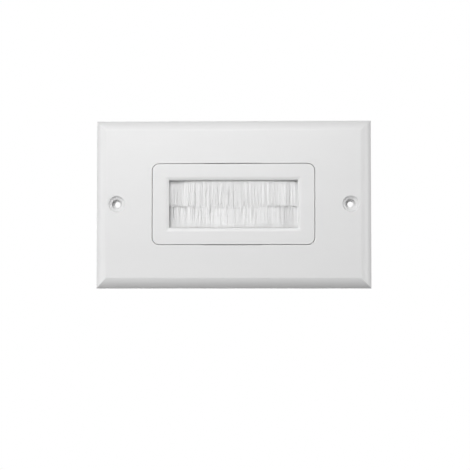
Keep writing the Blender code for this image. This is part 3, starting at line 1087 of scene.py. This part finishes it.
def floor_paint(color):
    """Paint that keeps a shadow near the object and looks white further off."""
    material, tree = new_material("floor_paint")
    seen = white_to_camera(tree)
    shade = mix_colors(tree, seen, shaded(color, FLOOR_BOUNCE), shaded(color, 1.0))
    paint = Wire.node(tree, "ShaderNodeBsdfDiffuse", {}, {"Color": shade})
    glow = Wire.node(tree, "ShaderNodeEmission", {}, {"Color": WHITE, "Strength": 1.0})
    flat = Wire.node(
        tree,
        "ShaderNodeVectorMath",
        {"operation": "MULTIPLY"},
        {0: object_place(tree), 1: (1.0, 1.0, 0.0)},
    )
    distance = Wire.node(
        tree, "ShaderNodeVectorMath", {"operation": "LENGTH"}, {0: flat}, output="Value"
    )
    share = GLOW_SHARE + (1 - GLOW_SHARE) * smooth_step(tree, distance, *GLOW_DISTANCES)
    mixed = Wire.node(tree, "ShaderNodeMixShader", {}, {0: seen * share, 1: paint, 2: glow})
    Wire.node(tree, "ShaderNodeOutputMaterial", {}, {"Surface": mixed})
    return material


def pale_floor(height, color):
    """A wide floor that keeps the object's shadow and looks white round it."""
    mesh = bpy.data.meshes.new("floor")
    bm = bmesh.new()
    place = Matrix.Translation((0, 0, height))
    bmesh.ops.create_grid(bm, x_segments=1, y_segments=1, size=FLOOR_HALF, matrix=place)
    bm.to_mesh(mesh)
    bm.free()
    mesh.materials.append(floor_paint(color))
    floor = bpy.data.objects.new("floor", mesh)
    bpy.context.scene.collection.objects.link(floor)


def soft_lamp(name, place, width, power):
    """A square lamp that faces the plate."""
    light = bpy.data.lights.new(name, "AREA")
    light.shape = "SQUARE"
    light.size = width
    light.energy = power
    lamp = bpy.data.objects.new(name, light)
    lamp.location = place
    lamp.rotation_mode = "QUATERNION"
    lamp.rotation_quaternion = (STUDIO_TARGET - Vector(place)).to_track_quat("-Z", "Y")
    bpy.context.scene.collection.objects.link(lamp)


def photo_camera(focal_length):
    """The camera at the photograph's viewing angle."""
    data = bpy.data.cameras.new("camera")
    data.lens = focal_length
    data.sensor_width = SENSOR_WIDTH
    data.clip_start, data.clip_end = CLIP_RANGE
    camera = bpy.data.objects.new("camera", data)
    camera.location = [distance * MM for distance in CAMERA_PLACE]
    camera.rotation_euler = [math.radians(angle) for angle in CAMERA_TURN]
    bpy.context.scene.collection.objects.link(camera)
    bpy.context.scene.camera = camera


class WALLPLATE_OT_set_stage(bpy.types.Operator):
    """Set up the floor, the lights, the world and the camera"""

    bl_idname = "wall_plate.set_stage"
    bl_label = "Set Stage"

    def execute(self, context):
        settings = context.scene.studio_settings
        white_world(settings.ambient)
        pale_floor(settings.floor_height, settings.floor_color)
        for side, (place, width) in LAMPS.items():
            soft_lamp(f"{side}_lamp", place, width, getattr(settings, f"{side}_power"))
        photo_camera(settings.focal_length)
        context.scene.view_settings.view_transform = "Standard"
        return {"FINISHED"}


class WALLPLATE_PT_finish(bpy.types.Panel):
    """Sizes, colours and steps of the brush wall plate"""

    bl_idname = "WALLPLATE_PT_finish"
    bl_label = "Wall Plate"
    bl_space_type = "VIEW_3D"
    bl_region_type = "UI"
    bl_category = "Wall Plate"

    def draw(self, context):
        for group_name, operators in PANEL_ROWS:
            box = self.layout.box()
            group = getattr(context.scene, group_name)
            for field in group.bl_rna.properties:
                if field.identifier not in ("name", "rna_type"):
                    box.prop(group, field.identifier)
            for operator in operators:
                box.operator(operator.bl_idname)


PANEL_ROWS = (
    ("moulding_settings", (WALLPLATE_OT_finish_plate, WALLPLATE_OT_finish_frame)),
    ("metal_settings", (WALLPLATE_OT_finish_metal,)),
    ("brush_settings", (WALLPLATE_OT_grow_brushes,)),
    ("studio_settings", (WALLPLATE_OT_set_stage,)),
)
SETTINGS = {
    "moulding_settings": MouldingSettings,
    "metal_settings": MetalSettings,
    "brush_settings": BrushSettings,
    "studio_settings": StudioSettings,
}
CLASSES = (
    *SETTINGS.values(),
    WALLPLATE_OT_finish_plate,
    WALLPLATE_OT_finish_frame,
    WALLPLATE_OT_finish_metal,
    WALLPLATE_OT_grow_brushes,
    WALLPLATE_OT_set_stage,
    WALLPLATE_PT_finish,
)


def register():
    for cls in CLASSES:
        bpy.utils.register_class(cls)
    for name, group in SETTINGS.items():
        setattr(bpy.types.Scene, name, bpy.props.PointerProperty(type=group))


def unregister():
    for name in SETTINGS:
        delattr(bpy.types.Scene, name)
    for cls in reversed(CLASSES):
        bpy.utils.unregister_class(cls)


def main():
    register()
    bpy.ops.wall_plate.finish_plate()
    bpy.ops.wall_plate.finish_frame()
    bpy.ops.wall_plate.finish_metal()
    bpy.ops.wall_plate.grow_brushes()
    bpy.ops.wall_plate.set_stage()


if __name__ == "__main__":
    main()
